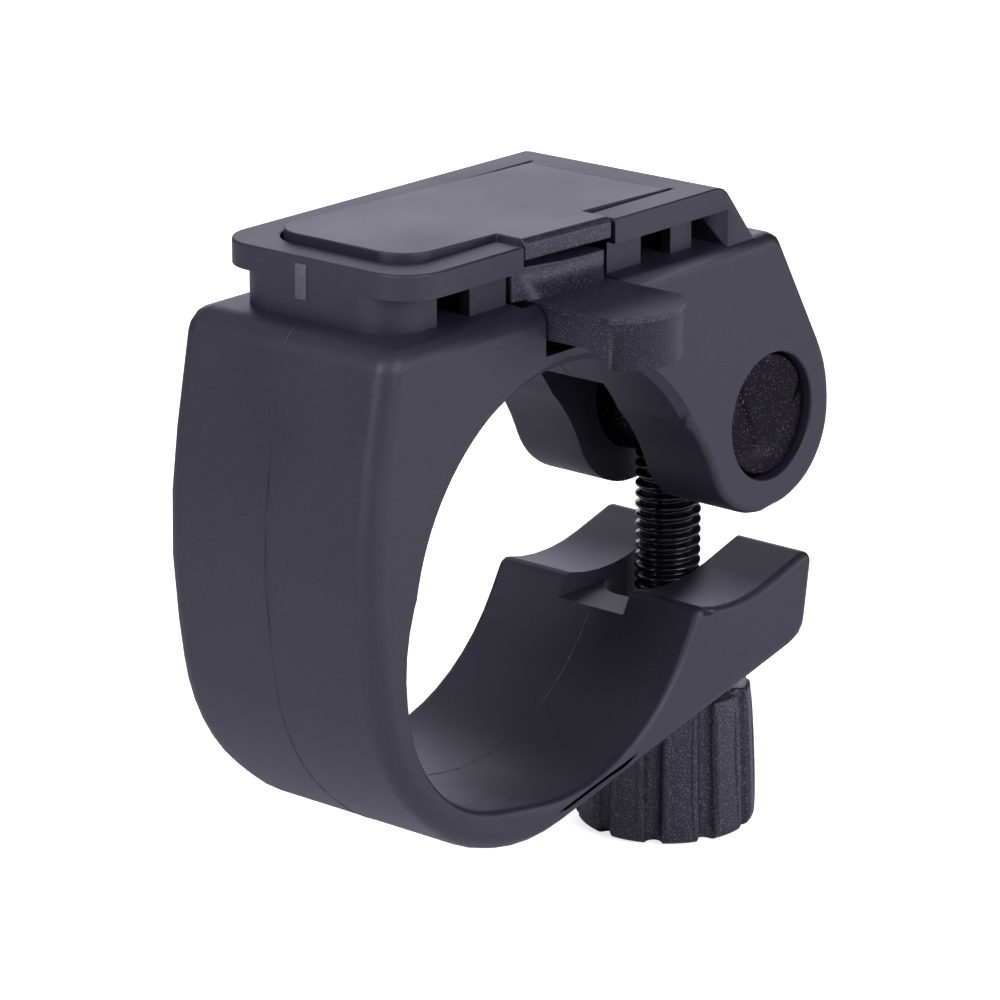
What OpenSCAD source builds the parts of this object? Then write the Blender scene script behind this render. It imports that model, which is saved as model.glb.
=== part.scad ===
// Handlebar mount for a bicycle light, with a slide-on rail and a swing screw.
// The origin is the centre of the handlebar bore, halfway across the clamp.
// X points from the back of the clamp to its jaws, Y runs along the handlebar
// and Z points up to the rail that the light slides on.

/* [Handlebar clamp] */
// Radius of the handlebar bore
bore_r = 15.9; // [15.6:0.1:16.6]
// Width of the clamp along the handlebar
body_w = 19.2; // [18.8:0.2:24]
// Wall between the bore and the top of the clamp
crown_wall = 4.8; // [4.4:0.1:7]
// How far the lower arm stands clear of the bore circle
arm_ease = 0.15; // [0.1:0.05:0.5]
// Wall of the C at its back
back_wall = 3.9; // [3.2:0.1:5]
// Wall of the C at its lowest point
belly_wall = 1.8; // [1.6:0.1:2.6]
// Radius of the soft edges round the outside
soft_edge = 1.5; // [0.9:0.1:1.7]
// Radius of the edges round the bore and the jaws
fine_edge = 0.6; // [0.3:0.1:0.7]

/* [Upper jaw] */
// Distance from the bore wall to the axis of the barrel nut
nut_reach = 7.5; // [7.2:0.1:9]
// Height of the barrel nut axis above the bore centre
nut_z = 6.9; // [6.4:0.1:7.8]
// Outer radius of the boss round the barrel nut
boss_r = 7.2; // [6.9:0.1:8]
// Width of the slots that the screw swings in
slot_w = 6.2; // [5.8:0.1:7.2]

/* [Lower jaw] */
// Height of the fork tip above the bore centre
fork_z = -4.5; // [-5.2:0.1:-3.9]
// Height of the fork tip from its top to its underside
fork_t = 7.1; // [6.4:0.1:8]
// How far the fork reaches past the screw axis
fork_reach = 5.4; // [4.8:0.1:6.4]
// How far the fork slot reaches behind the screw axis
slot_reach = 2.7; // [1.4:0.1:3.4]
// How far the curved washer seat stands below the fork at the screw
seat_proud = 1.7; // [1.5:0.1:2.4]
// Width of the washer seat across and along the fork
seat_w = 11; // [10:0.1:12]

/* [Light rail] */
// Length of the rail along its top
rail_l = 34; // [33:0.5:36]
// Width of the rail over its flanges
rail_w = 18; // [17.6:0.2:18.6]
// Height of the rail above the clamp
rail_h = 4.4; // [4.2:0.1:5.4]
// Thickness of the flanges
flange_t = 1.8; // [1.6:0.1:2]
// Width of the rail below its flanges
stem_w = 14.8; // [14.6:0.1:15.4]
// Corner radius at the open end of the rail
rail_corner_r = 3.2; // [2:0.1:3.6]
// How far the stop at the jaw end of the rail slopes out
stop_run = 3.5; // [2.6:0.1:4.4]
// Widths of the two posts beside the catch
post_w = 3.8; // [3:0.1:4.4]
// Width of the windows beside the posts
window_w = 3.4; // [2.6:0.1:3.8]
// Width of the rib next to the stop
rib_w = 2.4; // [1.8:0.1:2.8]

/* [Release lever] */
// Width of the tongue in the top of the rail
tongue_w = 12.6; // [11.8:0.1:12.8]
// Length of the tongue from its free end to its hinge
tongue_l = 28.2; // [27:0.1:29]
// Thickness of the tongue
tongue_t = 1.5; // [1.2:0.1:1.7]
// Angle at which the tongue stands proud of the rail
tongue_tilt = 1.2; // [0.8:0.1:1.5]
// Length of the catch along the rail
catch_l = 8.4; // [7.6:0.1:8.8]
// Height of the catch in the rail groove
catch_h = 1.8; // [1.4:0.1:1.9]
// Width of the thumb paddle
paddle_w = 8.3; // [7.6:0.1:8.6]
// Thickness of the thumb paddle
paddle_t = 2.5; // [2.1:0.1:2.7]
// How far the paddle stands out of the side of the clamp
paddle_reach = 7.3; // [6:0.1:9]
// Radius of the round front of the paddle
paddle_r = 5.2; // [4.8:0.1:6]
// Depth of the skirt below the top of the paddle
skirt_h = 3.9; // [3.4:0.1:5]
// Wall of the skirt
skirt_wall = 1.4; // [1:0.1:1.8]

/* [Screw, nut and knob] */
// Radius of the M5 screw over its thread
screw_r = 2.5; // [2:0.1:2.6]
// How far the screw stands past the axis of the barrel nut
screw_over = 5.8; // [5:0.1:6.4]
// Radius of the barrel nut
nut_r = 4.7; // [4.3:0.1:5]
// How far the ends of the barrel nut lie below the sides of the clamp
nut_sunk = 0.55; // [0.3:0.05:1]
// Outer radius of the washer
washer_r = 5; // [4.2:0.1:5.4]
// Thickness of the washer
washer_t = 1; // [0.8:0.1:1.6]
// Height of the knob
knob_h = 11; // [10:0.1:14]
// Radius of the knob at its foot
knob_r = 7; // [6.4:0.1:8]
// How much the knob narrows to its top
knob_taper = 0.5; // [0.2:0.1:0.9]
// Number of flutes round the knob
flutes = 10; // [8:1:12]
// Radius of one flute
flute_r = 0.75; // [0.5:0.05:0.9]
// Width across the flats of the screw head inside the knob
head_flats = 8; // [7:0.1:8.4]
// Height of the screw head
head_h = 3.5; // [2.5:0.1:4]

/* [Clearances] */
// Gap between the barrel nut and its hole, all round
nut_gap = 0.1; // [0.05:0.01:0.15]
// Gap between the screw and the thread of the barrel nut, all round
thread_gap = 0.05; // [0.03:0.01:0.08]
// Gap between the washer and the seat, the knob and the screw
washer_gap = 0.1; // [0.05:0.01:0.15]
// Gap round the moving tongue
tongue_gap = 0.25; // [0.15:0.01:0.3]
// Gap below the pressed paddle and beside it
press_gap = 1.1; // [0.8:0.05:1.2]
// Gap between the screw and the knob moulded on it
mould_gap = 0.02; // [0.01:0.01:0.04]

/* [Hidden] */

// Stock that the true bore is cut out of, and the overlap of joined solids
bore_stock = 0.9;
sink = 0.4;
// Arc step of the moulded outline in degrees
arc_step = 7;
// Steps of each soft edge from the side wall to the face
edge_steps = [0, 30, 60, 90];
// Facets of round bores and pins
fine = 96;

// Main heights and the screw axis
top_z = bore_r + crown_wall;
deck_z = top_z + rail_h;
flange_z = deck_z - flange_t;
nut_x = bore_r + nut_reach;
screw_x = nut_x;
tip_x = screw_x + fork_reach;
half_w = body_w / 2;
// Angles where the jaw and the back leave the true bore, and the ends of its cut
bore_from = 41;
bore_to = 156;
cut_from = bore_from - 14;
cut_to = bore_to + 14;
arm_from = -30;
arm_to = -100;
bore_half = (bore_to - bore_from) / 4;
moulded_r = bore_r - bore_stock;

// Rail places along X
rail_x0 = -bore_r - 0.15;
rail_x1 = rail_x0 + rail_l;
stop_x0 = rail_x1 + 0.5;
stop_x1 = rail_x1 + stop_run;
cavity_x0 = rail_x0 + 2.7 - tongue_gap;
tongue_x0 = rail_x0 + 2.7;
hinge_x = tongue_x0 + tongue_l;
hinge_z = deck_z - tongue_t / 2;

// Catch and paddle places along X
catch_x0 = -3.75;
catch_x1 = catch_x0 + catch_l;
paddle_x = catch_x1 - 2.95;
tab_gap = 0.3;
tab_x0 = catch_x0 - 0.3;
tab_x1 = catch_x1 + 0.65;
post_x0 = catch_x0 - 0.6 - post_w;
post_x1 = catch_x1 + 2;
paddle_z = top_z - 0.05;
web_t = 1.3;
web_y = -tongue_w / 2 + 0.1;
paddle_y = -half_w - paddle_reach;

// Screw, washer and knob heights
arm_r = bore_r + arm_ease;
belly_r = arm_r + belly_wall;
belly_corner = on(belly_r + 3.65, 248.5);
under_slope = (fork_z - fork_t - belly_corner[1]) / (tip_x - belly_corner[0]);
under_z = fork_z - fork_t - fork_reach * under_slope;
seat_z = under_z - seat_proud;
seat_r = nut_z - seat_z;
washer_z = seat_z - washer_gap - washer_t;
knob_top = washer_z - washer_gap / 2;
knob_foot = knob_top - knob_h;
head_z = knob_foot + 1.6;
screw_top = nut_z + screw_over;

// Outline of the moulding, counter-clockwise: x, z, corner radius, edge radius
function on(r, a) = [r * cos(a), r * sin(a)];
function row(p, r, edge) = [p[0], p[1], r, edge];
function tangent(a, t) = on(bore_r, a) + t * [-sin(a), cos(a)];
function bore_corner(a) = on(moulded_r / cos(bore_half), a);

back_r = bore_r + back_wall;
arm_half = (arm_from - arm_to) / 2;

OUTLINE = [
    row([-bore_r - 2.7, top_z], 2, soft_edge),
    row([-back_r - 1.75, 5.6], 40, soft_edge),
    row(on(back_r + 1.76, 207.4), 16.2, soft_edge),
    row(belly_corner, 15.8, soft_edge),
    row([tip_x, fork_z - fork_t], 2.5, soft_edge),
    row([tip_x, fork_z], 0.8, fine_edge),
    row([screw_x - 3.6, fork_z - 2.6], 15, fine_edge),
    row(on(arm_r, arm_from) + 2.6 * [-sin(arm_from), cos(arm_from)], 0.8, fine_edge),
    row(on(arm_r / cos(arm_half), (arm_from + arm_to) / 2), arm_r, fine_edge),
    row(on(bore_r + 4.72, 220.6), 11.2, fine_edge),
    row(tangent(bore_to, 7.1), 13.8, fine_edge),
    row(bore_corner(bore_to - bore_half), moulded_r, fine_edge),
    row(bore_corner(bore_from + bore_half), moulded_r, fine_edge),
    row(tangent(bore_from, -5.4), 13.9, fine_edge),
    row([nut_x - boss_r + 2.25, nut_z - boss_r], 6.4, fine_edge),
    row([nut_x + boss_r + 0.4, nut_z - boss_r], 6.6, 1),
    row([nut_x + boss_r + 0.1, nut_z + 2.5], 9.6, 1),
    row([nut_x + 0.7, top_z], 1.6, 1),
];

function unit(v) = v / norm(v);
function turned(v, a) = [v[0] * cos(a) - v[1] * sin(a), v[0] * sin(a) + v[1] * cos(a)];

// Points of one rounded corner with their outward normals and edge radius
function corner(a, b, c) =
    let (
        pa = [a[0], a[1]],
        pb = [b[0], b[1]],
        pc = [c[0], c[1]],
        u = unit(pa - pb),
        w = unit(pc - pb),
        half = acos(u * w) / 2,
        middle = pb + unit(u + w) * b[2] / sin(half),
        first = unit(pb + u * b[2] / tan(half) - middle),
        side = sign(cross(pb - pa, pc - pb)),
        turn = 180 - 2 * half,
        steps = ceil(turn / (b[2] < 3 ? 4 * arc_step : arc_step))
    )
    [
        for (i = [0:steps])
        let (ray = turned(first, side * turn * i / steps))
        concat(middle + b[2] * ray, side * ray, b[3])
    ];

function arcs(rows) = [
    for (i = [0:len(rows) - 1])
    each corner(
        rows[(i + len(rows) - 1) % len(rows)],
        rows[i],
        rows[(i + 1) % len(rows)]
    )
];

// The same points without the doubles that touching arcs share
function single(points) = [
    for (i = [0:len(points) - 1])
    let (gap = points[i] - points[(i + 1) % len(points)])
    if (norm([gap[0], gap[1]]) > 0.02) points[i]
];

function rounded(rows) = single(arcs(rows));

// Triangles that fill a side face: corners are clipped off one by one
function within(p, a, b, c) =
    cross(b - a, p - a) > -0.0001 && cross(c - b, p - b) > -0.0001 && cross(a - c, p - c) > -0.0001;
function is_ear(points, a, b, c, left) =
    cross(points[b] - points[a], points[c] - points[b]) > 0.0001
    && len([
        for (k = left)
        if (k != a && k != b && k != c && within(points[k], points[a], points[b], points[c])) k
    ]) == 0;
function first_ear(points, left, i) =
    let (n = len(left))
    i >= n - 1 || is_ear(points, left[(i + n - 1) % n], left[i], left[(i + 1) % n], left)
    ? i
    : first_ear(points, left, i + 1);
function clipped(points, left) =
    len(left) < 4
    ? [left]
    : let (n = len(left), i = first_ear(points, left, 0))
    concat(
        [[left[(i + n - 1) % n], left[i], left[(i + 1) % n]]],
        clipped(points, [for (k = [0:n - 1]) if (k != i) left[k]])
    );

// The outline as a solid whose long edges are rounded to the side faces
module soft_slab(points, half) {
    n = len(points);
    rings = concat(
        [for (a = [len(edge_steps) - 1:-1:0]) [edge_steps[a], -1]],
        [for (a = edge_steps) [a, 1]]
    );
    verts = [
        for (ring = rings)
        for (p = points)
        let (inset = p[4] * (1 - cos(ring[0])))
        [
            p[0] - p[2] * inset,
            ring[1] * (half - p[4] * (1 - sin(ring[0]))),
            p[1] - p[3] * inset
        ]
    ];
    skin = [
        for (j = [0:len(rings) - 2])
        for (i = [0:n - 1])
        each [
            [j * n + i, j * n + (i + 1) % n, (j + 1) * n + (i + 1) % n],
            [j * n + i, (j + 1) * n + (i + 1) % n, (j + 1) * n + i]
        ]
    ];
    last = (len(rings) - 1) * n;
    side = clipped([for (i = [0:n - 1]) [verts[i][0], verts[i][2]]], [for (i = [0:n - 1]) i]);
    near_face = [for (t = side) [t[2], t[1], t[0]]];
    far_face = [for (t = side) [last + t[0], last + t[1], last + t[2]]];
    polyhedron(verts, concat(near_face, far_face, skin));
}

// Rectangle from x0 to x1, centred on Y, with round corners at x0
module tab_plan(x0, x1, w, r) {
    translate([x0 + r, -w / 2]) square([x1 - x0 - r, w]);
    translate([x0, r - w / 2]) square([2 * r, w - 2 * r]);
    for (s = [-1, 1])
        translate([x0 + r, s * (w / 2 - r)]) circle(r, $fn = fine);
}

// Block along X, Y and Z given by its two corners
module block(a, b) {
    translate(a) cube(b - a);
}

// Cylinder along Y, centred on the clamp
module cross_pin(x, z, r, w) {
    translate([x, w / 2, z]) rotate([90, 0, 0]) cylinder(w, r, r, $fn = fine);
}

// True circular part of the bore with its small chamfers
module bore_cut() {
    far = 3 * bore_r;
    middle = (cut_from + cut_to) / 2;
    straight = half_w - fine_edge;
    intersection() {
        rotate([90, 0, 0]) rotate_extrude($fn = fine) polygon([
            [0, -half_w - 1],
            [bore_r + fine_edge + 1, -half_w - 1],
            [bore_r, -straight],
            [bore_r, straight],
            [bore_r + fine_edge + 1, half_w + 1],
            [0, half_w + 1]
        ]);
        translate([0, half_w + 2, 0]) rotate([90, 0, 0]) linear_extrude(body_w + 4)
            polygon([[0, 0], on(far, cut_from), on(far, middle), on(far, cut_to)]);
    }
}

// Stem, flanges and end wall of the rail, trimmed by the slope of the stop
module rail() {
    deep = 1.2;
    rise = stop_run * deep / rail_h;
    slope = [
        [rail_x0 - 1, top_z - deep, 0.1, 0],
        [stop_x1 + rise, top_z - deep, 0.1, 0],
        [rail_x1, deck_z, 1.4, 0],
        [rail_x0 - 1, deck_z, 0.1, 0]
    ];
    intersection() {
        union() {
            translate([0, 0, top_z - sink]) linear_extrude(flange_z - top_z + 2 * sink)
                tab_plan(rail_x0, stop_x0 + 1, stem_w, rail_corner_r);
            translate([0, 0, flange_z]) linear_extrude(flange_t + 1)
                tab_plan(rail_x0, stop_x0 + 1, rail_w, rail_corner_r);
            block([stop_x0, -rail_w / 2, top_z - deep], [stop_x1 + 2, rail_w / 2, deck_z + 1]);
        }
        translate([0, rail_w, 0]) rotate([90, 0, 0]) linear_extrude(2 * rail_w)
            polygon([for (p = rounded(slope)) [p[0], p[1]]]);
    }
}

// Hollow under the tongue, windows, and the way out for the lever
module rail_cuts() {
    translate([0, 0, top_z]) linear_extrude(rail_h + 1)
        tab_plan(cavity_x0, hinge_x + tongue_gap, tongue_w + 2 * tongue_gap, 2.6 + tongue_gap);
    for (s = [-1, 1])
        for (x = [post_x0 - window_w, post_x1 + post_w])
            translate([x, s * (stem_w / 2) - 2, top_z]) cube([window_w, 4, flange_z - top_z]);
    rib_x = post_x1 + post_w + window_w + rib_w;
    for (s = [-1, 1])
        translate([rib_x, s * (stem_w / 2) - 2, top_z]) cube([stop_x0 - rib_x, 4, flange_z - top_z]);
    block([tab_x0 - tab_gap, -half_w - 1, flange_z - 0.01], [tab_x1 + tab_gap, -5.4, deck_z + 1]);
    block([catch_x0 - 0.6, -half_w - 1, top_z], [post_x1, -5.4, flange_z + 0.01]);
    block(
        [catch_x0 - 0.3, 0.4 - rail_w / 2, top_z - press_gap],
        [catch_x1, web_y + web_t + 0.3, top_z + 1]
    );
    block(
        [paddle_x - paddle_w / 2 - 0.2, -half_w - 1, paddle_z - paddle_t - press_gap],
        [paddle_x + paddle_w / 2 + 0.55, web_y + web_t + 0.3, top_z + 1]
    );
}

// Slot through the upper jaw: the screw stands in it and swings out of it
module upper_slot() {
    block(
        [bore_r - 4.2, -slot_w / 2, nut_z - 2 * boss_r],
        [nut_x + 2 * boss_r, slot_w / 2, screw_top + 0.8]
    );
}

// Slot through the fork, open at its tip and round at its inner end
module fork_slot() {
    depth = fork_t + seat_r;
    translate([0, 0, fork_z - depth]) linear_extrude(depth + 3) {
        translate([screw_x - slot_reach, 0]) circle(slot_w / 2, $fn = fine);
        translate([screw_x - slot_reach, -slot_w / 2]) square([2 * fork_reach + 8, slot_w]);
    }
}

// Seat under the fork, curved about the nut axis so that the washer stays on it
module washer_seat() {
    intersection() {
        cross_pin(nut_x, nut_z, seat_r, seat_w);
        block(
            [screw_x - seat_w / 2, -seat_w / 2, seat_z - 1],
            [tip_x - 0.8, seat_w / 2, fork_z - fork_t + 1]
        );
    }
}

// One moulding: C of the clamp, both jaws, washer seat and light rail
module clamp_body() color([0.17, 0.17, 0.2]) {
    difference() {
        union() {
            soft_slab(rounded(OUTLINE), half_w);
            washer_seat();
            rail();
        }
        rail_cuts();
        bore_cut();
        upper_slot();
        fork_slot();
        cross_pin(nut_x, nut_z, nut_r + nut_gap, body_w + 2);
    }
}

// Plan of the thumb paddle with its round front, drawn in by inset
module paddle_plan(inset) {
    centre_y = paddle_y + paddle_r;
    intersection() {
        union() {
            translate([paddle_x, centre_y]) circle(paddle_r - inset, $fn = fine);
            translate([paddle_x - paddle_w / 2, centre_y])
                square([paddle_w, web_y + web_t - centre_y - inset]);
        }
        translate([paddle_x - paddle_w / 2 + inset, paddle_y - 1])
            square([paddle_w - 2 * inset, web_y + web_t - paddle_y + 1]);
    }
}

// Tongue plate with the tab that closes the gap in the near flange
module tongue() {
    tab_y = 0.1 - rail_w / 2;
    tab_chamfer = 0.35;
    translate([hinge_x, 0, hinge_z]) rotate([0, tongue_tilt, 0])
        translate([-hinge_x, 0, -hinge_z]) {
            translate([0, 0, deck_z - tongue_t]) linear_extrude(tongue_t)
                tab_plan(tongue_x0, hinge_x, tongue_w, 2.6);
            translate([tab_x1, 0, deck_z]) rotate([0, -90, 0])
                linear_extrude(tab_x1 - tab_x0) polygon([
                    [0, -tongue_w / 2 + 1],
                    [0, tab_y + tab_chamfer],
                    [-tab_chamfer, tab_y],
                    [-tongue_t, tab_y],
                    [-tongue_t, -tongue_w / 2 + 1]
                ]);
        }
}

// Wedge that the foot of the light snaps past, flush at one end, proud at the other
module catch() {
    flush_y = -stem_w / 2;
    proud_y = 0.1 - rail_w / 2;
    plan = [
        [catch_x0, web_y + web_t, 0.1, 0],
        [catch_x0, flush_y, 0.2, 0],
        [catch_x0 + 0.55 * catch_l, proud_y + 0.3, 12, 0],
        [catch_x1, proud_y, 0.25, 0],
        [catch_x1, web_y + web_t, 0.1, 0]
    ];
    translate([0, 0, top_z + 0.05]) linear_extrude(catch_h + 0.55)
        polygon([for (p = rounded(plan)) [p[0], p[1]]]);
    translate([0, 0, paddle_z - sink]) linear_extrude(catch_h + sink)
        intersection() {
            polygon([for (p = rounded(plan)) [p[0], p[1]]]);
            translate([paddle_x - paddle_w / 2, proud_y - 1]) square([paddle_w, rail_w]);
        }
}

// Paddle plate with a fine lip and the skirt that curves down to its front
module paddle() {
    lip = 0.12;
    lip_t = 0.45;
    skirt_y = paddle_y + 4.4;
    drop = skirt_h - paddle_t;
    translate([0, 0, paddle_z - lip_t]) linear_extrude(lip_t) paddle_plan(0);
    translate([0, 0, paddle_z - paddle_t]) linear_extrude(paddle_t - lip_t / 2) paddle_plan(lip);
    intersection() {
        translate([0, 0, paddle_z - skirt_h]) linear_extrude(skirt_h - lip_t) difference() {
            paddle_plan(lip);
            translate([0, skirt_wall / 2]) paddle_plan(lip + skirt_wall);
        }
        translate([paddle_x - paddle_w, 0, paddle_z]) rotate([90, 0, 90]) linear_extrude(2 * paddle_w)
            polygon(concat(
                [[skirt_y, 0], [paddle_y - 1, 0], [paddle_y - 1, -skirt_h]],
                [
                    for (i = [0:8])
                    [
                        skirt_y - 3.2 + 3.2 * i / 8,
                        -paddle_t + 0.1 - drop * (1 + cos(180 * i / 8)) / 2
                    ]
                ]
            ));
    }
}

// Release lever: tongue, catch and thumb paddle in one moulding
module release_lever() color([0.16, 0.16, 0.18]) {
    tongue();
    block(
        [paddle_x - paddle_w / 2, web_y, paddle_z - paddle_t],
        [catch_x1, web_y + web_t, hinge_z + 0.2]
    );
    catch();
    paddle();
}

// Cross nut of the clamp with its threaded hole
module barrel_nut() color([0.06, 0.06, 0.07]) {
    length = body_w - 2 * nut_sunk;
    rim = 0.3;
    difference() {
        translate([nut_x, 0, nut_z]) rotate([90, 0, 0]) rotate_extrude($fn = fine)
            polygon([
                [0, -length / 2],
                [nut_r - rim, -length / 2],
                [nut_r, rim - length / 2],
                [nut_r, length / 2 - rim],
                [nut_r - rim, length / 2],
                [0, length / 2]
            ]);
        translate([screw_x, 0, nut_z - 2 * nut_r])
            cylinder(4 * nut_r, screw_r + thread_gap, screw_r + thread_gap, $fn = fine);
    }
}

// Screw with its hexagon head, which the knob is moulded on
module clamp_screw() color([0.05, 0.05, 0.05]) {
    point = 0.5;
    translate([screw_x, 0, 0]) {
        rotate_extrude($fn = fine) polygon([
            [0, head_z],
            [screw_r, head_z],
            [screw_r, screw_top - point],
            [screw_r - point, screw_top],
            [0, screw_top]
        ]);
        translate([0, 0, head_z])
            cylinder(head_h, head_flats / sqrt(3), head_flats / sqrt(3), $fn = 6);
    }
}

// Fluted thumb knob
module thumb_knob() color([0.13, 0.13, 0.14]) {
    foot = 0.8;
    lip = 0.4;
    neck_r = knob_r - knob_taper;
    translate([screw_x, 0, 0]) difference() {
        rotate_extrude($fn = fine) polygon([
            [0, knob_foot],
            [knob_r - foot, knob_foot],
            [knob_r, knob_foot + foot],
            [neck_r, knob_top - lip],
            [neck_r - lip, knob_top],
            [0, knob_top]
        ]);
        for (i = [0:flutes - 1])
            rotate([0, 0, (i + 0.84) * 360 / flutes]) translate([knob_r, 0, knob_foot - 1])
                cylinder(knob_h + 2, flute_r, flute_r, $fn = 24);
        translate([0, 0, head_z])
            cylinder(knob_h, screw_r + mould_gap, screw_r + mould_gap, $fn = fine);
        translate([0, 0, head_z - mould_gap])
            cylinder(
                head_h + 2 * mould_gap,
                head_flats / sqrt(3) + mould_gap,
                head_flats / sqrt(3) + mould_gap,
                $fn = 6
            );
    }
}

// Washer between the knob and the fork
module thrust_washer() color([0.5, 0.5, 0.52]) {
    hole_r = screw_r + washer_gap;
    translate([screw_x, 0, washer_z]) difference() {
        cylinder(washer_t, washer_r, washer_r, $fn = fine);
        translate([0, 0, -1]) cylinder(washer_t + 2, hole_r, hole_r, $fn = fine);
    }
}

clamp_body();
release_lever();
barrel_nut();
clamp_screw();
thumb_knob();
thrust_washer();
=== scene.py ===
# %% [markdown]
# # A handlebar mount for a bicycle light
# This lesson dresses the solids of a light mount for a product picture. It
# loads the solids, turns them into pieces with soft edges, adds the thread,
# the moulding marks and the knob's ridges, makes every surface from shader
# maths, and sets up the camera, the light and the floor.

# %% Load the solids
import math
import bmesh
import bpy
from mathutils import Matrix, Vector


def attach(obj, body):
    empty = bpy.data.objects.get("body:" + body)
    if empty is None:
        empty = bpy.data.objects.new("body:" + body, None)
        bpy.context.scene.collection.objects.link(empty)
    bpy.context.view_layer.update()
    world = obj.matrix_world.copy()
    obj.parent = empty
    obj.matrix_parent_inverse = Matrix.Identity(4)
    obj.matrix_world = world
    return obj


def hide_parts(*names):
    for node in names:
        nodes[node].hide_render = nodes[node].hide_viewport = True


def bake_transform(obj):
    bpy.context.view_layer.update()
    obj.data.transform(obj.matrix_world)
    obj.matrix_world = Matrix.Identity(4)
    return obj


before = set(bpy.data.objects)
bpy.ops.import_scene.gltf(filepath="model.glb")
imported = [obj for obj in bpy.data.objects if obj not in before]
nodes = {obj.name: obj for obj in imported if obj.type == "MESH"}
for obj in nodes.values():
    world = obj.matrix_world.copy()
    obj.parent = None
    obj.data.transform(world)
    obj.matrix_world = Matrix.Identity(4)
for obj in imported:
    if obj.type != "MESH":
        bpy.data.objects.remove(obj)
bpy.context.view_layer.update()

MM = 0.001
scene = bpy.context.scene
print("nodes:", sorted(nodes))

# %% [markdown]
# Every size below is in millimetres and repeats a value of the solids.
# The origin is the centre of the handlebar bore, halfway across the clamp.

# %% Sizes
BORE_R = 15.9
CROWN = 4.8
BODY_W = 19.2
SCREW_X = 23.4
NUT_Z = 6.9
NUT_HOLE_R = 4.8
BELLY_IN = 16.65
BELLY_OUT = 16.95
TOP_Z = BORE_R + CROWN
DECK_Z = TOP_Z + 4.4
RAIL_X0 = -16.05
HINGE_X = 14.85
SCREW_R = 2.5
SCREW_TOP = 12.7
SCREW_FOOT = -25.09
THREAD_FOOT = -15.95
PITCH = 0.8
KNOB_FOOT = -26.69
KNOB_TOP = -15.69
KNOB_R = 7.0
KNOB_NECK_R = 6.5
FLUTES = 10
FLUTE_R = 0.75
FLUTE_TURN = 0.84
LAND_DROP = 0.12
print("height of the rail over the bore centre:", DECK_Z, "mm")

# %% [markdown]
# The real clamp is one moulding that looks like a slice of bent bar. Its outline
# is a polygon with round corners. Each row gives a corner's place and its
# radius, counter-clockwise from the back of the top. The points could be read
# off the solid, but named corners are easier to follow along the part, and the
# fine parting line of the mould needs them in order.

# %% The moulded outline
OUTLINE = [
    (-18.60, 20.70, 2.0), (-21.55, 5.60, 40.0), (-19.14, -9.92, 16.2),
    (-7.88, -20.00, 15.8), (28.80, -11.60, 2.5), (28.80, -4.50, 0.8),
    (19.80, -7.10, 15.0), (15.20, -5.77, 0.8), (8.28, -17.76, 16.05),
    (-15.66, -13.42, 11.2), (-17.41, -0.02, 13.8), (-10.98, 14.44, 15.9),
    (6.28, 17.01, 15.9), (15.54, 6.36, 13.9), (18.45, -0.30, 6.4),
    (31.00, -0.30, 6.6), (30.70, 9.40, 9.6), (24.10, 20.70, 1.6),
]


def rounded(rows, step=3.0):
    """Points of the rounded outline: place, outward normal and row number."""
    points = []
    for i, (bx, bz, r) in enumerate(rows):
        b = Vector((bx, bz))
        a = Vector(rows[i - 1][:2])
        c = Vector(rows[(i + 1) % len(rows)][:2])
        u, w = (a - b).normalized(), (c - b).normalized()
        half = math.acos(max(-1.0, min(1.0, u.dot(w)))) / 2
        middle = b + (u + w).normalized() * r / math.sin(half)
        ray = (b + u * r / math.tan(half) - middle) / r
        side = 1 if (b - a).x * (c - b).y - (b - a).y * (c - b).x > 0 else -1
        turn = math.pi - 2 * half
        steps = max(1, math.ceil(math.degrees(turn) / step))
        for k in range(steps + 1):
            spun = Matrix.Rotation(side * turn * k / steps, 2) @ ray
            points.append((middle + r * spun, side * spun, i))
    return points


outline = rounded(OUTLINE)
print("outline points:", len(outline))

# %% [markdown]
# A surface is a small web of nodes. It could be wired node by node, but that
# hides the sum that it works out. Here a socket class lets shader maths read
# like plain arithmetic, and one function makes every other node, sets it up
# and links or sets its inputs. Node trees for geometry use the same tools.

# %% Shader tools
class Sock:
    """A shader output that takes part in arithmetic."""

    def __init__(self, tree, out):
        self.tree, self.out = tree, out

    def _math(self, kind, a, b):
        return make(self.tree, "ShaderNodeMath", {0: a, 1: b}, operation=kind)

    def __add__(self, other):
        return self._math("ADD", self, other)

    def __radd__(self, other):
        return self._math("ADD", other, self)

    def __sub__(self, other):
        return self._math("SUBTRACT", self, other)

    def __rsub__(self, other):
        return self._math("SUBTRACT", other, self)

    def __mul__(self, other):
        return self._math("MULTIPLY", self, other)

    def __rmul__(self, other):
        return self._math("MULTIPLY", other, self)

    def __truediv__(self, other):
        return self._math("DIVIDE", self, other)

    def __rtruediv__(self, other):
        return self._math("DIVIDE", other, self)

    def __lt__(self, other):
        return self._math("LESS_THAN", self, other)

    def __gt__(self, other):
        return self._math("GREATER_THAN", self, other)

    def clamp(self, low=0.0, high=1.0):
        """The value held between two limits."""
        return make(self.tree, "ShaderNodeClamp", {"Value": self, "Min": low, "Max": high})


def make(tree, kind, ins=None, out=0, **props):
    """Makes one node, sets its properties and inputs, and returns an output if
    it has any."""
    node = tree.nodes.new(kind)
    for key, value in props.items():
        setattr(node, key, value)
    for key, value in (ins or {}).items():
        socket = node.inputs[key]
        if isinstance(value, Sock):
            tree.links.new(value.out, socket)
        else:
            socket.default_value = value
    return Sock(tree, node.outputs[out]) if node.outputs else None


MIX_FACTOR, MIX_LOW, MIX_HIGH, MIX_RESULT = 0, 6, 7, 2


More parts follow.
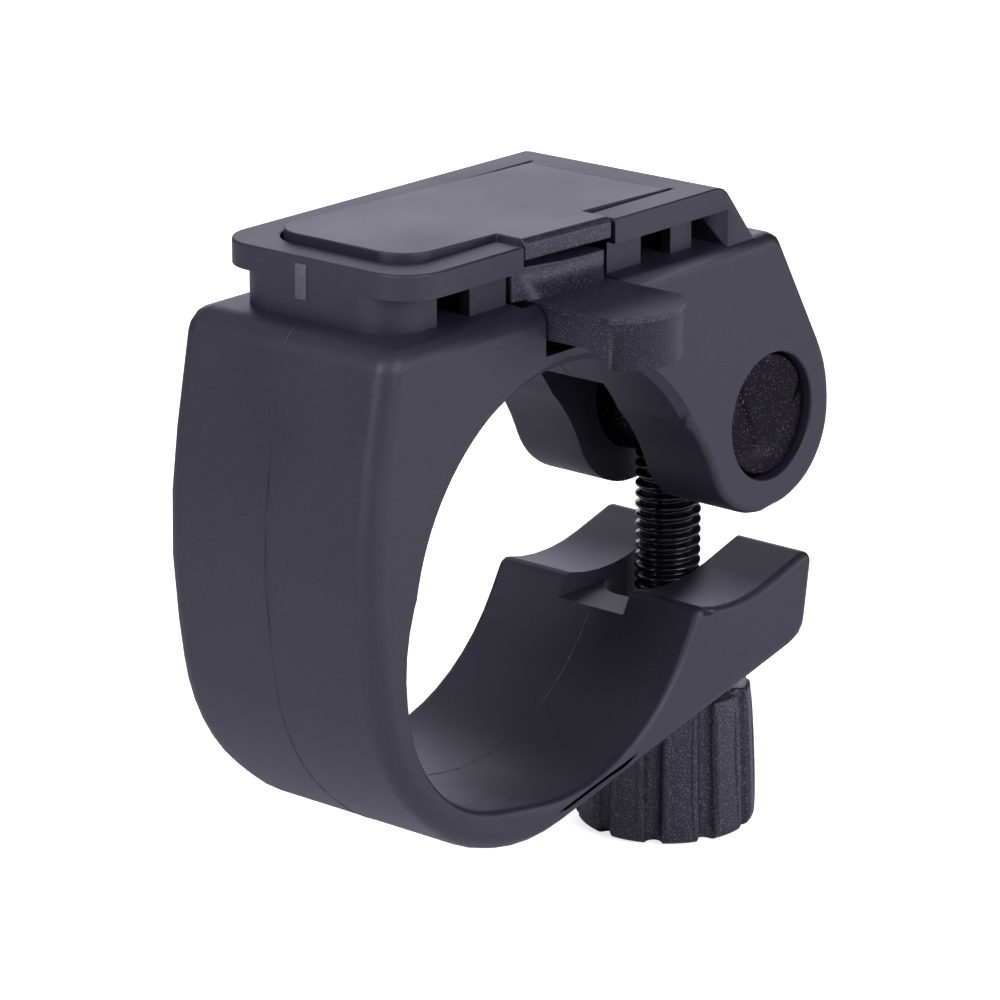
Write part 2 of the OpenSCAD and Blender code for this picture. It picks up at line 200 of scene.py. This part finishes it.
def mix(tree, factor, low, high):
    """Mixes two colours by a factor."""
    low, high = (c if isinstance(c, Sock) else (*c, 1.0) for c in (low, high))
    return make(tree, "ShaderNodeMix", {MIX_FACTOR: factor, MIX_LOW: low, MIX_HIGH: high},
                out=MIX_RESULT, data_type="RGBA")


def noise(tree, place, scale, detail, roughness=0.5):
    """Soft noise on the object's own coordinates, in cells per metre."""
    return make(tree, "ShaderNodeTexNoise",
                {"Vector": place, "Scale": scale, "Detail": detail, "Roughness": roughness})


OBJECT_PLACE = 3


def material(name, recipe):
    """A material whose recipe gives the values of its surface."""
    mat = bpy.data.materials.new(name)
    mat.use_nodes = True
    tree = mat.node_tree
    tree.nodes.clear()
    place = make(tree, "ShaderNodeTexCoord", out=OBJECT_PLACE)
    values, height, strength, distance = recipe(tree, place)
    if height is not None:
        values["Normal"] = make(tree, "ShaderNodeBump", {
            "Height": height, "Strength": strength, "Distance": distance})
    surface = make(tree, "ShaderNodeBsdfPrincipled", values)
    make(tree, "ShaderNodeOutputMaterial", {"Surface": surface})
    return mat


print("shader tools are ready")

# %% [markdown]
# The body is fine matt plastic. The lever's catch and paddle and the knob have the sparkle
# of a spark-eroded mould. It is painted into their colour as light specks, which are painted
# glints. The metal parts are black, but for the washer. Painted textures would need
# unwrapping, so layered noise on the object's own coordinates gives the drift, the grain and
# the painted glints instead.

# %% Materials
DRIFT_SCALE = 110.0
PATCH_SCALE = 420.0
GRAIN_DEPTH = 0.02 * MM
# Colour of the painted glints: light specks that stand in for light sparkling on the eroded
# mould.
PAINTED_GLINT_COLOUR = (0.20, 0.20, 0.23)
PLASTIC_DARK = (0.0115, 0.0112, 0.0175)
PLASTIC_LIGHT = (0.0190, 0.0187, 0.0270)
# The lever's painted glints show below this height or further out than this side.
PAINTED_GLINT_LOW = 23.3
PAINTED_GLINT_SIDE = -6.9


def moulded(dark, light, rough, grain, strength, painted_glint_amount, low=None, side=None):
    """Plastic with a soft colour drift and a fine grain, and painted glints (light specks
    mixed into the colour for the sparkle) where the surface lies below one height or further
    out than one side."""
    def recipe(tree, place):
        drift = noise(tree, place, DRIFT_SCALE, 4.0)
        fine = noise(tree, place, grain, 2.0, 0.6)
        speck = noise(tree, place, grain * 1.3, 0.0, 0.4)
        # Painted glints: light specks mixed into the colour for the sparkle of the eroded
        # surface.
        painted_glint = ((speck - 0.58) * 8.0).clamp()
        if low is not None:
            across = make(tree, "ShaderNodeSeparateXYZ", {0: place}, out=1)
            height = make(tree, "ShaderNodeSeparateXYZ", {0: place}, out=2)
            painted_glint = painted_glint * ((across < side * MM) + (height < low * MM)).clamp()
        pale = ((drift - 0.35) * 1.6 + (fine - 0.5) * 0.5).clamp()
        colour = mix(tree, painted_glint * painted_glint_amount, mix(tree, pale, dark, light), PAINTED_GLINT_COLOUR)
        roughness = (rough + (drift - 0.5) * 0.16 + (fine - 0.5) * 0.12).clamp(0.2, 0.9)
        values = {"Base Color": colour, "Roughness": roughness}
        return values, fine + painted_glint, strength, GRAIN_DEPTH
    return recipe


def black_metal(dark, light, rough, metallic, grain, strength):
    """Blackened steel with a speckled, slightly worn skin."""
    def recipe(tree, place):
        patch = noise(tree, place, PATCH_SCALE, 3.0)
        fine = noise(tree, place, grain, 1.0, 0.6)
        speck = ((fine - 0.63) * 9.0).clamp()
        colour = mix(tree, ((patch - 0.55) * 0.5).clamp() + speck * 0.8, dark, light)
        roughness = (rough + (patch - 0.5) * 0.2).clamp(0.08, 0.9)
        values = {"Base Color": colour, "Roughness": roughness, "Metallic": metallic}
        return values, fine, strength, GRAIN_DEPTH
    return recipe


body_plastic = material("body_plastic", moulded(
    PLASTIC_DARK, PLASTIC_LIGHT, 0.50, 9000.0, 0.22, 0.04))
lever_plastic = material("lever_plastic", moulded(
    PLASTIC_DARK, PLASTIC_LIGHT, 0.47, 8000.0, 0.30, 0.30, PAINTED_GLINT_LOW, PAINTED_GLINT_SIDE))
knob_plastic = material("knob_plastic", moulded(
    (0.0100, 0.0100, 0.0140), (0.0200, 0.0200, 0.0260), 0.46, 7000.0, 0.35, 0.42))
scar_plastic = material("scar_plastic", moulded(
    (0.045, 0.045, 0.048), (0.130, 0.130, 0.130), 0.60, 2500.0, 0.50, 0.10))
nut_steel = material("nut_steel", black_metal(
    (0.005, 0.004, 0.006), (0.16, 0.15, 0.17), 0.34, 1.0, 6500.0, 0.25))
screw_steel = material("screw_steel", black_metal(
    (0.004, 0.004, 0.005), (0.020, 0.020, 0.022), 0.22, 0.0, 5000.0, 0.05))
washer_steel = material("washer_steel", black_metal(
    (0.30, 0.30, 0.31), (0.48, 0.48, 0.49), 0.34, 1.0, 2600.0, 0.10))
LOOKS = {
    "clamp_body": (body_plastic, "body_plastic", "clamp"),
    "release_lever": (lever_plastic, "lever_plastic", "lever"),
    "barrel_nut": (nut_steel, "nut_steel", "cross_nut"),
    "clamp_screw": (screw_steel, "screw_steel", "knob"),
    "thumb_knob": (knob_plastic, "knob_plastic", "knob"),
    "thrust_washer": (washer_steel, "washer_steel", "washer"),
}
print("materials:", [m.name for m in bpy.data.materials])

# %% [markdown]
# A piece is a plain mesh that sits at the origin and rides on a body. A solid
# arrives as loose triangles. It becomes a piece when its doubled points are
# merged and its flat facets joined. A bevel on every edge would fold over at
# the narrow facets, so a small bevel is cut only along the long hard edges of
# the rail's top, the lever and the metal parts. The other edges of the clamp
# are rounded in the solid already. Weighted normals keep the flat faces flat.

# %% Pieces from the solids
WELD = 0.004
FLAT_ANGLE = 0.6
HARD_ANGLE = 32.0
SMOOTH_ANGLE = 38.0
BELLY_FROM, BELLY_TO, BELLY_TOP = -6.0, 12.0, -10.0


def piece(name, mesh, node, mat=None):
    """Adds a mesh to the scene with the material and the body of a node."""
    look, slot, body = LOOKS[node]
    mesh.materials.clear()
    mesh.materials.append(mat or look)
    made = bpy.data.objects.new(name, mesh)
    scene.collection.objects.link(made)
    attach(made, body)
    return made


def baked(source, name, node):
    """The mesh of an object after its modifiers, as a piece of its own."""
    graph = bpy.context.evaluated_depsgraph_get()
    mesh = bpy.data.meshes.new_from_object(source.evaluated_get(graph))
    bpy.data.objects.remove(source)
    return piece(name, mesh, node)


def long_edges(work, width, region):
    """Hard edges of a region whose two faces are wide enough to take a bevel."""
    found = []
    for edge in work.edges:
        if not all(region(v.co / MM) for v in edge.verts):
            continue
        if len(edge.link_faces) != 2:
            continue
        if edge.calc_face_angle(0.0) < math.radians(HARD_ANGLE):
            continue
        run = edge.calc_length()
        smaller = min(face.calc_area() for face in edge.link_faces)
        if smaller > 2.4 * width * run and run > 1.2 * width:
            found.append(edge)
    return found


def unfold(vert):
    """Moves the soft edge of the thin belly off the fine edge of the bore. A few
    narrow faces stay folded, as the wall there is thinner than its two edges."""
    at = vert.co / MM
    reach = math.hypot(at.x, at.z)
    on_side = abs(at.y) > BODY_W / 2 - 0.05
    if on_side and BELLY_FROM < at.x < BELLY_TO and at.z < BELLY_TOP:
        if abs(reach - BELLY_IN) > 0.03 and reach < BELLY_OUT:
            vert.co.x *= BELLY_OUT / reach
            vert.co.z *= BELLY_OUT / reach


def softened(node, name, bevel, region=lambda at: True):
    """A piece with the form of a solid and small bevels on its long hard edges."""
    mesh = nodes[node].data.copy()
    mesh.transform(nodes[node].matrix_world)
    work = bmesh.new()
    work.from_mesh(mesh)
    bmesh.ops.remove_doubles(work, verts=work.verts, dist=WELD * MM)
    for vert in work.verts:
        unfold(vert)
    work.normal_update()
    bmesh.ops.dissolve_limit(work, angle_limit=math.radians(FLAT_ANGLE),
                             verts=work.verts, edges=work.edges)
    chosen = long_edges(work, bevel * MM, region)
    bmesh.ops.bevel(work, geom=chosen, offset=bevel * MM, offset_type="OFFSET",
                    segments=2, profile=0.6, affect="EDGES", clamp_overlap=False)
    for face in work.faces:
        face.smooth = True
    work.to_mesh(mesh)
    work.free()
    mesh.set_sharp_from_angle(angle=math.radians(SMOOTH_ANGLE))
    source = bpy.data.objects.new(name + "_source", mesh)
    scene.collection.objects.link(source)
    weighted = source.modifiers.new("normals", "WEIGHTED_NORMAL")
    weighted.keep_sharp = True
    made = baked(source, name, node)
    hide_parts(node)
    return made


def on_rail(at):
    """True on the rail's top and on the rims of the nut's hole."""
    from_rim = math.hypot(at.x - SCREW_X, at.z - NUT_Z) - NUT_HOLE_R
    return at.z > DECK_Z - 0.2 or (abs(at.y) > BODY_W / 2 - 0.2 and abs(from_rim) < 0.1)


body = softened("clamp_body", "moulded_clamp", 0.16, on_rail)
lever = softened("release_lever", "moulded_lever", 0.12, lambda at: at.z > TOP_Z + 2.0)
nut = softened("barrel_nut", "cross_nut_steel", 0.10)
washer = softened("thrust_washer", "washer_disc", 0.12)
for made in (body, lever, nut, washer):
    print(made.name, len(made.data.polygons), "faces")

# %% [markdown]
# The screw is black steel with a right-hand thread. A helix could be cut from
# the shank, but a cut leaves ragged facets. One grid of points whose radius
# follows the helix stays closed and even. The flanks are straight and the
# crests and roots are short flats.

# %% The threaded screw
def closed_grid(rings, name):
    """A mesh from rings of points, closed at both ends."""
    count = len(rings[0])
    verts = [p for ring in rings for p in ring]
    faces = []
    for j in range(len(rings) - 1):
        for i in range(count):
            k = (i + 1) % count
            faces.append((j * count + i, j * count + k,
                          (j + 1) * count + k, (j + 1) * count + i))
    faces.append(tuple(reversed(range(count))))
    faces.append(tuple(range((len(rings) - 1) * count, len(rings) * count)))
    mesh = bpy.data.meshes.new(name)
    mesh.from_pydata(verts, [], faces)
    mesh.update()
    return mesh


def ring(radius, z, count):
    """Points round the screw's axis, whose radius is a function of the angle."""
    points = []
    for i in range(count):
        turn = 2 * math.pi * i / count
        r = radius(turn)
        points.append(((SCREW_X + r * math.cos(turn)) * MM, r * math.sin(turn) * MM, z * MM))
    return points


FLANK_SLOPE, CREST_FLAT = 2.9, 0.35
THREAD_DEPTH, THREAD_FADE = 0.44, 0.8
SCREW_END_R, TIP = 2.4, 0.5


def thread_radius(z, turn):
    """Radius of a right-hand thread at a height and an angle."""
    phase = (z / PITCH - turn / (2 * math.pi)) % 1.0
    flank = min(1.0, max(0.0, abs(phase - 0.5) * FLANK_SLOPE - CREST_FLAT))
    depth = THREAD_DEPTH * min(1.0, max(0.0, (z - THREAD_FOOT) / THREAD_FADE))
    cone = SCREW_R - max(0.0, z - (SCREW_TOP - TIP))
    return min(SCREW_R - 0.02 - depth * flank, cone)


SEGMENTS = 56
STEP = PITCH / 10
rings = [ring(lambda turn: SCREW_END_R, SCREW_FOOT, SEGMENTS)]
z = THREAD_FOOT
while z < SCREW_TOP - 0.001:
    rings.append(ring(lambda turn: thread_radius(z, turn), z, SEGMENTS))
    z += STEP
rings.append(ring(lambda turn: SCREW_R - TIP, SCREW_TOP, SEGMENTS))
screw_mesh = closed_grid(rings, "threaded_screw")
for face in screw_mesh.polygons:
    face.use_smooth = len(face.vertices) == 4
screw = piece("threaded_screw", screw_mesh, "clamp_screw")
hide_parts("clamp_screw")
print("thread faces:", len(screw_mesh.polygons))

# %% [markdown]
# The knob is a plastic cone with ten narrow grooves for the fingers. The grooves
# could be cut out one by one, but a grid whose radius follows the angle takes
# them all at once. The foot and the lip are rounded over, and the foot ends in
# a shallow dish.

# %% The fluted knob
def knob_radius(turn, z):
    """Radius of the knob's side at an angle and a height."""
    cone = KNOB_R - (KNOB_R - KNOB_NECK_R) * (z - KNOB_FOOT) / (KNOB_TOP - KNOB_FOOT)
    pitch = 2 * math.pi / FLUTES
    off = (turn / pitch - FLUTE_TURN) % 1.0
    off = (off - 1.0 if off > 0.5 else off) * pitch * cone
    groove = math.sqrt(max(0.0, FLUTE_R ** 2 - off ** 2))
    return cone - groove - LAND_DROP


FOOT, LIP, COUNT = 0.8, 0.4, 480
DISH_R, DISH_EDGE_R, DISH_DEPTH = 4.62, 5.39, 0.12
SIDE = KNOB_TOP - LIP - KNOB_FOOT - FOOT
profile = []
for k in range(7):
    a = math.pi / 2 * k / 6
    profile.append((FOOT * (1 - math.sin(a)), KNOB_FOOT + FOOT * (1 - math.cos(a))))
for k in range(1, 12):
    profile.append((0.0, KNOB_FOOT + FOOT + SIDE * k / 11))
for k in range(1, 6):
    a = math.pi / 2 * k / 5
    profile.append((LIP * (1 - math.cos(a)), KNOB_TOP - LIP + LIP * math.sin(a)))
knob_rings = [ring(lambda turn: DISH_R, KNOB_FOOT + DISH_DEPTH, COUNT),
              ring(lambda turn: DISH_EDGE_R, KNOB_FOOT, COUNT)]
for inset, height in profile:
    knob_rings.append(ring(lambda turn: knob_radius(turn, height) - inset, height, COUNT))
knob_mesh = closed_grid(knob_rings, "fluted_knob")
for face in knob_mesh.polygons:
    face.use_smooth = len(face.vertices) == 4
knob = piece("fluted_knob", knob_mesh, "thumb_knob")
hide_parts("thumb_knob")
print("knob faces:", len(knob_mesh.polygons))

# %% [markdown]
# Each land of the knob ends in a soft ridge beside its groove, which catches the
# light as a fine line. Ridges repeat at one step, so a node tree makes one from
# a stretched ball, sets it on points round the knob and gives it its material.
# The sizes are inputs of the tree, so that the same tree makes both sides.

# %% Ridges of the knob
RIDGE_SINK, RIDGE_END = 0.02, 0.75
RIDGE_DEPTH, RIDGE_WIDTH, RIDGE_ASIDE = 0.16, 0.27, 0.30
RIDGE_SIZES = ("Radius", "Depth", "Width", "Length", "Turn", "Lean")


def ridge_tree(mat):
    """A tree that puts copies of one ridge round the Z axis."""
    tree = bpy.data.node_groups.new("ridge_ring", "GeometryNodeTree")
    sockets = tree.interface
    sockets.new_socket("Geometry", in_out="INPUT", socket_type="NodeSocketGeometry")
    sockets.new_socket("Count", in_out="INPUT", socket_type="NodeSocketInt")
    for name in RIDGE_SIZES:
        sockets.new_socket(name, in_out="INPUT", socket_type="NodeSocketFloat")
    sockets.new_socket("Geometry", in_out="OUTPUT", socket_type="NodeSocketGeometry")
    given = tree.nodes.new("NodeGroupInput").outputs
    count = Sock(tree, given["Count"])
    radius, depth, width, length, turn, lean = (Sock(tree, given[k]) for k in RIDGE_SIZES)

    angle = make(tree, "GeometryNodeInputIndex") * (2.0 * math.pi / count) + turn
    spot = make(tree, "ShaderNodeCombineXYZ", {
        "X": radius * make(tree, "ShaderNodeMath", {0: angle}, operation="COSINE"),
        "Y": radius * make(tree, "ShaderNodeMath", {0: angle}, operation="SINE")})
    places = make(tree, "GeometryNodePoints", {"Count": count, "Position": spot})
    ball = make(tree, "GeometryNodeMeshUVSphere", {
        "Segments": 12, "Rings": 14, "Radius": 1.0})
    smooth = make(tree, "GeometryNodeSetShadeSmooth", {"Geometry": ball})
    size = make(tree, "ShaderNodeCombineXYZ", {"X": depth, "Y": width, "Z": length})
    ridge = make(tree, "GeometryNodeTransform", {"Geometry": smooth, "Scale": size})
    facing = make(tree, "ShaderNodeCombineXYZ", {"Y": lean, "Z": angle})
    spread = make(tree, "GeometryNodeInstanceOnPoints", {
        "Points": places, "Instance": ridge, "Rotation": facing})
    solid = make(tree, "GeometryNodeRealizeInstances", {"Geometry": spread})
    dressed = make(tree, "GeometryNodeSetMaterial", {"Geometry": solid, "Material": mat})
    make(tree, "NodeGroupOutput", {0: dressed})
    return tree


def ridge_ring(name, side):
    """The ridges on one side of all the grooves, as one plain mesh."""
    half = (KNOB_TOP - KNOB_FOOT) / 2
    mid_r = (KNOB_R + KNOB_NECK_R) / 2
    aside = (FLUTE_R + RIDGE_ASIDE) / mid_r
    tree = ridge_tree(knob_plastic)
    holder = bpy.data.objects.new(name + "_source", bpy.data.meshes.new(name))
    scene.collection.objects.link(holder)
    repeat = holder.modifiers.new("repeat", "NODES")
    repeat.node_group = tree
    wanted = {"Count": FLUTES,
              "Radius": (mid_r - LAND_DROP - RIDGE_SINK) * MM,
              "Depth": RIDGE_DEPTH * MM,
              "Width": RIDGE_WIDTH * MM,
              "Length": (half - RIDGE_END) * MM,
              "Turn": (FLUTE_TURN * 2 * math.pi / FLUTES) + side * aside,
              "Lean": -math.atan((KNOB_R - KNOB_NECK_R) / (2 * half))}
    for item in tree.interface.items_tree:
        if item.item_type == "SOCKET" and item.in_out == "INPUT" and item.name in wanted:
            repeat[item.identifier] = wanted[item.name]
    graph = bpy.context.evaluated_depsgraph_get()
    mesh = bpy.data.meshes.new_from_object(holder.evaluated_get(graph))
    bpy.data.objects.remove(holder)
    mesh.transform(Matrix.Translation((SCREW_X * MM, 0.0, (KNOB_FOOT + half) * MM)))
    return piece(name, mesh, "thumb_knob")


for made in (ridge_ring("knob_ridges_left", -1), ridge_ring("knob_ridges_right", 1)):
    print(made.name, len(made.data.polygons), "faces")

# %% [markdown]
# The mould closes halfway across the clamp and leaves a fine raised line round
# the back and inside the bore. The gate leaves a scar on the end of the rail.
# Bump alone would not show at the edge of the form, so both are thin meshes:
# the line runs along the points of the outline, and the scar is a low block.

# %% Moulding marks
TRUE_BORE_FROM, TRUE_BORE_TO = 41.0, 156.0
FLASH_W, FLASH_H, FLASH_SINK = 0.13, 0.035, 0.03
LINE_END = Vector((16.8, -14.35))
LINE_END_NORMAL = Vector((0.22, -0.975)).normalized()
JAW_START = 11.6


def bore_side(p, n):
    """Moves a point of the bore outline onto the true bore."""
    angle = math.degrees(math.atan2(p.y, p.x))
    if TRUE_BORE_FROM < angle < TRUE_BORE_TO:
        return p.normalized() * BORE_R, -p.normalized()
    return p, n


def flash(name, points):
    """A fine triangular ridge along points of the outline."""
    rings = []
    for p, n in points:
        foot = p - n * FLASH_SINK
        crest = p + n * FLASH_H
        rings.append([(foot.x * MM, -FLASH_W / 2 * MM, foot.y * MM),
                      (crest.x * MM, 0.0, crest.y * MM),
                      (foot.x * MM, FLASH_W / 2 * MM, foot.y * MM)])
    mesh = closed_grid(rings, name)
    return piece(name, mesh, "clamp_body")


back_run = [(p, n) for p, n, row in outline if row in (0, 1, 2, 3)]
back_run.append((LINE_END, LINE_END_NORMAL))
flash("parting_line_back", back_run)
bore_run = [bore_side(p, n) for p, n, row in outline if 8 <= row <= 12]
bore_run = [(p, n) for p, n in bore_run if p.x < JAW_START or p.y < 0]
flash("parting_line_bore", bore_run)


def scar(name, low, high, bevel):
    """A small pale block with soft edges, given by two corners."""
    mesh = bpy.data.meshes.new(name)
    work = bmesh.new()
    bmesh.ops.create_cube(work, size=1.0)
    for v in work.verts:
        for axis in range(3):
            span = (high[axis] - low[axis]) * MM
            v.co[axis] = low[axis] * MM + (v.co[axis] + 0.5) * span
    bmesh.ops.bevel(work, geom=work.edges[:], offset=bevel * MM, segments=2,
                    affect="EDGES", profile=0.6)
    for face in work.faces:
        face.smooth = True
    work.to_mesh(mesh)
    work.free()
    return piece(name, mesh, "clamp_body", scar_plastic)


scar("gate_scar", (RAIL_X0 - 0.1, 0.3, 22.1), (RAIL_X0 + 0.1, 1.3, 24.6), 0.04)
print("moulding marks are in place")

# %% [markdown]
# The tongue and the rail are one moulding in the real mount, so no gap shows where the
# tongue bends. The solids have to move apart there. A rigid strip would stick out when the
# lever is pressed, so the web is made as a bar of many slices.

# %% The living hinge
def web_mesh(name, x0, x1, half, z0, z1, cuts):
    """A flat bar along X, cut into many slices."""
    rings = []
    for k in range(cuts + 1):
        x = (x0 + (x1 - x0) * k / cuts) * MM
        rings.append([(x, -half * MM, z0 * MM), (x, -half * MM, z1 * MM),
                      (x, half * MM, z1 * MM), (x, half * MM, z0 * MM)])
    mesh = closed_grid([list(reversed(r)) for r in rings], name)
    look, slot, _ = LOOKS["clamp_body"]
    mesh.materials.append(look)
    made = bpy.data.objects.new(name, mesh)
    scene.collection.objects.link(made)
    return made


WEB_HALF, WEB_DEPTH, WEB_PROUD, WEB_CUTS = 6.28, 1.45, 0.012, 10
hinge_web = web_mesh("hinge_web", HINGE_X - 0.25, HINGE_X + 0.4, WEB_HALF,
                     DECK_Z - WEB_DEPTH, DECK_Z + WEB_PROUD, WEB_CUTS)
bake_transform(hinge_web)
print("hinge web faces:", len(hinge_web.data.polygons))

# %% [markdown]
# The camera stands where the photograph was taken from. It could be turned by
# eye, but it was found by matching the corners of the rail, the bore, the nut
# and the screw, so that the picture and the photograph can be laid together.
# The picture is taken to be a square of 1000 pixels, as the photograph is.

# %% Camera
AZIMUTH = math.radians(-49.883)
ELEVATION = math.radians(17.553)
DISTANCE = 339.93
SENSOR = 36.0
FOCAL_PIXELS = 4774.13
PICTURE = 1000
OFF_RIGHT = 3.403
OFF_UP = 5.877
SHIFT = Vector((1.45, 0.0, 1.65))
right = Vector((math.cos(AZIMUTH), math.sin(AZIMUTH), 0.0))
back = Vector((math.sin(AZIMUTH) * math.cos(ELEVATION),
               -math.cos(AZIMUTH) * math.cos(ELEVATION), math.sin(ELEVATION)))
up = back.cross(right)
place = (back * DISTANCE + right * OFF_RIGHT + up * OFF_UP - SHIFT) * MM
camera_data = bpy.data.cameras.new("camera")
camera_data.sensor_width = SENSOR
camera_data.lens = SENSOR * FOCAL_PIXELS / PICTURE
camera_data.clip_start = 0.01
camera_data.clip_end = 20.0
camera = bpy.data.objects.new("camera", camera_data)
turn = Matrix((right, up, back)).transposed().to_4x4()
camera.matrix_world = Matrix.Translation(place) @ turn
scene.collection.objects.link(camera)
scene.camera = camera
print("camera at", [round(v / MM, 1) for v in place], "mm")

# %% [markdown]
# Soft square lights stand round the mount: two broad ones beside the camera, a
# low one from the right, and weak ones behind, over and in front of it. One
# strong light would leave hard shadows, and a bright world would lift the black
# plastic. The pale floor under the knob keeps the shadow, and it looks white
# because it glows for the camera only.

# %% Light and floor
LAMP_SIZE = 0.35
LAMP_LEVEL = 1.16
LAMP_COLOUR = (0.86, 0.825, 1.0)
LAMP_AIM = Vector((0.004, 0.0, 0.0))


def lamp(name, offset, power):
    """A square light that faces the mount from an offset in metres."""
    data = bpy.data.lights.new(name, "AREA")
    data.shape = "SQUARE"
    data.size = LAMP_SIZE
    data.energy = power * LAMP_LEVEL
    data.color = LAMP_COLOUR
    made = bpy.data.objects.new(name, data)
    made.location = LAMP_AIM + offset
    made.rotation_euler = (-offset).to_track_quat("-Z", "Y").to_euler()
    scene.collection.objects.link(made)


ABOVE = Vector((0.0, 0.0, 1.0))
BACK_FLAT = Vector((back.x, back.y, 0.0)).normalized()
lamp("front_left", back * 0.40 - right * 0.40 + ABOVE * 0.20, 2.75)
lamp("front_right", back * 0.40 + right * 0.40 + ABOVE * 0.20, 2.45)
lamp("front_high", back * 0.55 + ABOVE * 0.30, 0.55)
lamp("low_right", right * 0.50, 1.0)
lamp("behind_left", -back * 0.35 - right * 0.35 + ABOVE * 0.45, 0.35)
lamp("behind_low", -BACK_FLAT * 0.55 + ABOVE * 0.17, 0.75)
lamp("over", ABOVE * 0.60, 0.25)

SPAN = 3.0
FLOOR_Z = (KNOB_FOOT - 0.02) * MM
FLOOR_GLOW = 0.75


def pale_floor(tree, place):
    """Near white, with a glow that only the camera sees."""
    glow = make(tree, "ShaderNodeLightPath") * FLOOR_GLOW
    values = {"Base Color": (0.93, 0.93, 0.94, 1.0), "Roughness": 0.7,
              "Emission Color": (1.0, 1.0, 1.0, 1.0), "Emission Strength": glow}
    return values, None, 0.0, 0.0


floor_mesh = bpy.data.meshes.new("floor")
floor_mesh.from_pydata([(-SPAN, -SPAN, FLOOR_Z), (SPAN, -SPAN, FLOOR_Z),
                        (SPAN, SPAN, FLOOR_Z), (-SPAN, SPAN, FLOOR_Z)], [], [(0, 1, 2, 3)])
floor = bpy.data.objects.new("floor", floor_mesh)
scene.collection.objects.link(floor)
floor_mesh.materials.append(material("floor", pale_floor))

world = bpy.data.worlds.new("world")
scene.world = world
world.use_nodes = True
sky = world.node_tree
sky.nodes.clear()
seen = make(sky, "ShaderNodeLightPath")
white = make(sky, "ShaderNodeBackground", {"Color": (1.0, 1.0, 1.0, 1.0), "Strength": 1.0})
soft = make(sky, "ShaderNodeBackground", {"Color": (0.90, 0.92, 1.0, 1.0), "Strength": 0.02})
shown = make(sky, "ShaderNodeMixShader", {0: seen, 1: soft, 2: white})
make(sky, "ShaderNodeOutputWorld", {"Surface": shown})
scene.view_settings.view_transform = "Standard"
print("lights:", len(bpy.data.lights))
